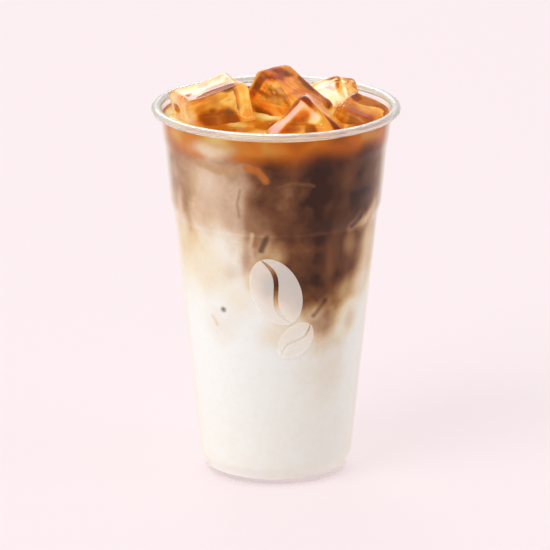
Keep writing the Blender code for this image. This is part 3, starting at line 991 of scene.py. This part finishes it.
def build_ice_colors():
    """A group that gives the tint of the light that passes, and the painted glow of the clouded heart and of
    highlights.
    """
    group = bpy.data.node_groups.new("ice_colors", "ShaderNodeTree")
    group.interface.new_socket("Cloud Level", in_out="INPUT", socket_type="NodeSocketFloat")
    for name in ("Tint", "Cloud"):
        group.interface.new_socket(name, in_out="OUTPUT", socket_type="NodeSocketColor")
    nodes, links = group.nodes, group.links
    given, output = add_node(nodes, "NodeGroupInput"), add_node(nodes, "NodeGroupOutput")
    steeped, cloud_and_highlight, warm = (
        add_node(nodes, "ShaderNodeAttribute", attribute_name=name).outputs["Fac"]
        for name in ("steeped", "cloud_and_highlight", "warm")
    )
    level = add_node(nodes, "ShaderNodeMath", operation="MULTIPLY")
    links.new(cloud_and_highlight, level.inputs[0])
    links.new(given.outputs["Cloud Level"], level.inputs[1])
    tint = ramp(nodes, STEEPED_TONES)
    links.new(steeped, tint.inputs["Fac"])
    passed = blend(nodes, links, level.outputs["Value"], tint.outputs["Color"], CLOUD_BLOCKS)
    links.new(passed, output.inputs["Tint"])
    cloud_glow_tone = ramp(nodes, CLOUD_GLOW_TONES)
    links.new(warm, cloud_glow_tone.inputs["Fac"])
    cloud_glow = blend(nodes, links, level.outputs["Value"], (0, 0, 0), cloud_glow_tone.outputs["Color"])
    links.new(cloud_glow, output.inputs["Cloud"])
    return group


uneven_skin, ice_colors = build_uneven_skin(), build_ice_colors()


# %% Materials that let light through
def clear_material(name, color, ior, roughness, bump_size, bump_depth, clearness=1.0, gloss=(1, 1, 1, 1)):
    """Glass-like for the eye, with a waving skin, and plain transparent for shadow and scattered rays."""
    made, nodes, links, shader = new_material(name)
    set_inputs(shader, {"Base Color": color, "Transmission Weight": clearness, "Specular Tint": gloss})
    set_inputs(shader, {"IOR": ior, "Roughness": roughness})
    skin = add_node(nodes, "ShaderNodeGroup", node_tree=uneven_skin)
    set_inputs(skin, {"Waves Per Metre": 1 / (bump_size * MM), "Depth": bump_depth * MM})
    links.new(skin.outputs["Normal"], shader.inputs["Normal"])
    path = add_node(nodes, "ShaderNodeLightPath")
    either = add_node(nodes, "ShaderNodeMath", operation="MAXIMUM")
    links.new(path.outputs["Is Shadow Ray"], either.inputs[0])
    links.new(path.outputs["Is Diffuse Ray"], either.inputs[1])
    through = add_node(nodes, "ShaderNodeBsdfTransparent", {"Color": color})
    choose = add_node(nodes, "ShaderNodeMixShader")
    links.new(either.outputs["Value"], choose.inputs["Fac"])
    links.new(shader.outputs["BSDF"], choose.inputs[1])
    links.new(through.outputs["BSDF"], choose.inputs[2])
    output = nodes["Material Output"]
    links.new(choose.outputs["Shader"], output.inputs["Surface"])
    return made


ICE_TINT, ICE_GLOSS = (0.99, 0.95, 0.84, 1), (0.55, 0.55, 0.55, 1)


def ice_material():
    """Clear ice whose tint and painted glow, for cloud and highlights, come from the three values at its
    points.
    """
    made = clear_material("wet_ice", ICE_TINT, 1.31, 0.0, 11.0, 0.06, gloss=ICE_GLOSS)
    nodes, links = made.node_tree.nodes, made.node_tree.links
    shader = nodes["Principled BSDF"]
    colors = add_node(nodes, "ShaderNodeGroup", node_tree=ice_colors)
    set_inputs(colors, {"Cloud Level": 1.0})
    links.new(colors.outputs["Tint"], shader.inputs["Base Color"])
    # Cloud and painted highlights glow by themselves: this emission is painted light
    links.new(colors.outputs["Cloud"], shader.inputs["Emission Color"])
    set_inputs(shader, {"Emission Strength": 1.0})
    return made


PLASTIC_TINT, PLASTIC_GLOSS = (0.975, 0.98, 0.98, 1), (0.35, 0.35, 0.35, 1)
RIM_TINT, RIM_CLEARNESS = (0.89, 0.855, 0.825, 1), 0.80
plastic = clear_material("clear_sheet", PLASTIC_TINT, 1.5, 0.03, 9.0, 0.02, gloss=PLASTIC_GLOSS)
rolled = clear_material("rolled_rim", RIM_TINT, 1.5, 0.20, 14.0, 0.012, clearness=RIM_CLEARNESS)
ice = ice_material()
RIM_FROM_HEIGHT, RIM_FROM_RADIUS = 147.6, 46.1


def cup_parts(middles):
    """0 for the thin wall, 1 for the rolled rim."""
    rolled_up = (middles[:, 2] > RIM_FROM_HEIGHT) | (np.hypot(middles[:, 0], middles[:, 1]) > RIM_FROM_RADIUS)
    return rolled_up.astype(int)


# %% [markdown]
# ## The print
# Cups of this kind carry a small print in warm white ink that lets a little of the drink show through.
# Two coffee beans fill the place here. Each half of a bean is one grid: its rows run along the bean and
# its columns run from the S-shaped furrow out to the oval edge, and back again on the inner side, which
# makes a thin closed layer. The flat drawing is then wrapped round the cup.

# %% Two beans in ink
PRINT_TURN, PRINT_HEIGHT = math.radians(3), 77.0
PRINT_LIFT, PRINT_THICKNESS = 0.02, 0.05
BEANS = [(-2.0, 6.5, 14.5, 9.6, -24), (6.0, -14.0, 8.6, 6.0, 42)]
FURROW_SWAY, FURROW_WIDTH = 0.24, 0.11
BEAN_ROWS, BEAN_STEPS, BEAN_END = 60, 14, 1.45
# INK_PAINTED_GLOW is a painted glow: the ink gives off a little light of its own, so it doesn't go grey where
# it shades the drink under it
INK_TONE, INK_THIN_TONE, INK_ALPHA, INK_PAINTED_GLOW = (250, 246, 240), (244, 238, 230), 0.40, 0.12


def bean_half(middle_x, middle_z, half_length, half_width, lean, side):
    """Rows at places v along the bean; columns from the furrow s(v) = sway sin(pi v) to the oval edge."""
    v = np.sin(np.linspace(-BEAN_END, BEAN_END, BEAN_ROWS))[:, None]
    u = np.linspace(0, 1, BEAN_STEPS)
    round_trip = np.concatenate([u, u[::-1]])[None, :]
    oval = half_width * np.sqrt(1 - v ** 2)
    furrow = half_width * (FURROW_SWAY * np.sin(np.pi * v) + side * FURROW_WIDTH * np.sqrt(1 - v ** 2))
    across = furrow + round_trip * (side * oval - furrow)
    along = half_length * v + 0 * across
    tilt = math.radians(lean)
    x = middle_x + across * math.cos(tilt) + along * math.sin(tilt)
    z = PRINT_HEIGHT + middle_z + along * math.cos(tilt) - across * math.sin(tilt)
    lift = PRINT_LIFT + PRINT_THICKNESS * np.concatenate([np.ones_like(u), np.zeros_like(u)])
    radius = wall_radius(z) + (WALL - DRINK_INTO_WALL) + lift
    turn = PRINT_TURN + x / radius
    return np.stack([radius * np.sin(turn), -radius * np.cos(turn), z], -1)


print_points, print_faces = [], []
for bean in BEANS:
    for side in (-1, 1):
        grid = bean_half(*bean, side)
        first = sum(len(part) for part in print_points)
        faces = [[corner + first for corner in face] for face in skin_faces(*grid.shape[:2])]
        print_points.append(skin_points(grid))
        print_faces += faces if side < 0 else [face[::-1] for face in faces]
beans = smooth(add_mesh("bean_print", np.vstack(print_points), print_faces), 60)
print("print:", len(beans.data.polygons), "faces")


def ink_material():
    """Thin, slightly uneven ink that lets part of the drink's colour through, with a little painted glow."""
    made, nodes, links, shader = new_material("warm_white_ink")
    place = add_node(nodes, "ShaderNodeTexCoord")
    grain = add_node(nodes, "ShaderNodeTexNoise", {"Scale": 700.0})
    links.new(place.outputs["Object"], grain.inputs["Vector"])
    color = blend(nodes, links, grain.outputs["Fac"], INK_TONE, INK_THIN_TONE)
    links.new(color, shader.inputs["Base Color"])
    links.new(color, shader.inputs["Emission Color"])
    set_inputs(shader, {"Roughness": 0.5, "Emission Strength": INK_PAINTED_GLOW, "Alpha": INK_ALPHA})
    return made


beans.data.materials.append(ink_material())
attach(beans, BODY)

# %% Dress and place every piece
cup.data.materials.append(plastic)
cup.data.materials.append(rolled)
sort_faces(cup, cup_parts)
milk.data.materials.append(milk_finish)
coffee.data.materials.clear()
for finish in (coffee_finish, surface_finish, hollow_finish):
    coffee.data.materials.append(finish)
sort_faces(coffee, coffee_parts)
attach(cup, BODY)
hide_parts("cup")
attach(milk, BODY)
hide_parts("milk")
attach(coffee, BODY)
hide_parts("coffee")
for name, piece in ice_pieces.items():
    piece.data.materials.append(ice)
    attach(piece, BODY)
    if name in ICE:
        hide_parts(name)

# %% [markdown]
# ## Floor, light and camera
# The photograph is a plain pale studio shot with no hard shadow. A wide floor carries the background
# colour, the world fills every side, and far, large lamps give the shape: far ones, because their light
# then falls evenly on the floor.

# %% The floor
FLOOR_TONE, FLOOR_HALF = (254, 239, 242), 6000.0
# The part of the floor's colour that it gives off by itself, so that shadows on it stay faint
FLOOR_SHINE = 0.7
FLOOR_GRAIN = 2


def make_floor():
    """A wide sheet of pale paper with a fine grain."""
    far = FLOOR_HALF
    corners = [(-far, -far, 0), (far, -far, 0), (far, far, 0), (-far, far, 0)]
    made_floor = add_mesh("studio_floor", corners, [[0, 1, 2, 3]])
    made, nodes, links, shader = new_material("pale_paper")
    place = add_node(nodes, "ShaderNodeTexCoord")
    grain = add_node(nodes, "ShaderNodeTexNoise", {"Scale": 900.0})
    links.new(place.outputs["Object"], grain.inputs["Vector"])
    darker = tuple(value - FLOOR_GRAIN for value in FLOOR_TONE)
    tint = blend(nodes, links, grain.outputs["Fac"], FLOOR_TONE, darker)
    dim = (1 - FLOOR_SHINE, 1 - FLOOR_SHINE, 1 - FLOOR_SHINE, 1)
    dimmed = add_node(nodes, "ShaderNodeMix", data_type="RGBA", blend_type="MULTIPLY")
    set_inputs(dimmed, {"Factor": 1.0, "B": dim})
    links.new(tint, dimmed.inputs["A"])
    links.new(dimmed.outputs["Result"], shader.inputs["Base Color"])
    links.new(tint, shader.inputs["Emission Color"])
    set_inputs(shader, {"Emission Strength": FLOOR_SHINE, "Roughness": 0.9, "Specular IOR Level": 0.0})
    made_floor.data.materials.append(made)
    return made_floor


make_floor()

# %% Light
LAMP_COLOR, LAMP_AIM = (0.965, 1.0, 0.985), 0.08


def add_lamp(name, azimuth, elevation, distance, size, power):
    """An area lamp that looks at the cup from an azimuth, 0 in front and 90 at the right, in degrees."""
    lamp = bpy.data.lights.new(name, "AREA")
    lamp.shape = "RECTANGLE"
    lamp.size, lamp.size_y = size
    lamp.energy = power
    lamp.color = LAMP_COLOR
    obj = bpy.data.objects.new(name, lamp)
    across, up = math.radians(azimuth), math.radians(elevation)
    away = np.array([math.sin(across) * math.cos(up), -math.cos(across) * math.cos(up), math.sin(up)])
    obj.location = (away * distance + np.array([0, 0, LAMP_AIM])).tolist()
    obj.rotation_euler = (math.radians(90 - elevation), 0, across)
    bpy.context.scene.collection.objects.link(obj)


add_lamp("key", -48, 42, 4.5, (2.6, 3.2), 106)
add_lamp("side", 78, 30, 4.5, (1.0, 3.4), 16)
add_lamp("back", 190, 31, 4.5, (1.8, 1.7), 34)

# %% The room
ROOM_LIGHT, DARK_LIGHT = 0.73, 0.16
ROOM_TINT = (0.955, 1.0, 0.98, 1)
DARK_SIDE, DARK_FROM, DARK_TO = (0.0, -0.97, 0.24), 0.45, 0.95


def make_world():
    """A soft room whose light falls off near the camera, so that the front stays deep in colour."""
    world = bpy.data.worlds.new("studio")
    world.use_nodes = True
    nodes, links = world.node_tree.nodes, world.node_tree.links
    place = add_node(nodes, "ShaderNodeTexCoord")
    facing = add_node(nodes, "ShaderNodeVectorMath", {1: DARK_SIDE}, operation="DOT_PRODUCT")
    links.new(place.outputs["Generated"], facing.inputs[0])
    limits = {"From Min": DARK_FROM, "From Max": DARK_TO, "To Min": ROOM_LIGHT, "To Max": DARK_LIGHT}
    level = add_node(nodes, "ShaderNodeMapRange", limits, interpolation_type="SMOOTHSTEP")
    links.new(facing.outputs["Value"], level.inputs["Value"])
    links.new(level.outputs["Result"], nodes["Background"].inputs["Strength"])
    nodes["Background"].inputs["Color"].default_value = ROOM_TINT
    return world


bpy.context.scene.world = make_world()

view = bpy.context.scene.view_settings
view.view_transform = "Standard"
view.look = "None"

# %% The camera
CAMERA_PLACE = (-0.0004, -1.7374, 0.592)
CAMERA_PITCH = math.radians(73.56)
LENS, SENSOR = 298.5, 36.0

lens = bpy.data.cameras.new("camera")
lens.lens = LENS
lens.sensor_width = SENSOR
camera = bpy.data.objects.new("camera", lens)
camera.location = CAMERA_PLACE
camera.rotation_euler = (CAMERA_PITCH, 0, 0)
bpy.context.scene.collection.objects.link(camera)
bpy.context.scene.camera = camera
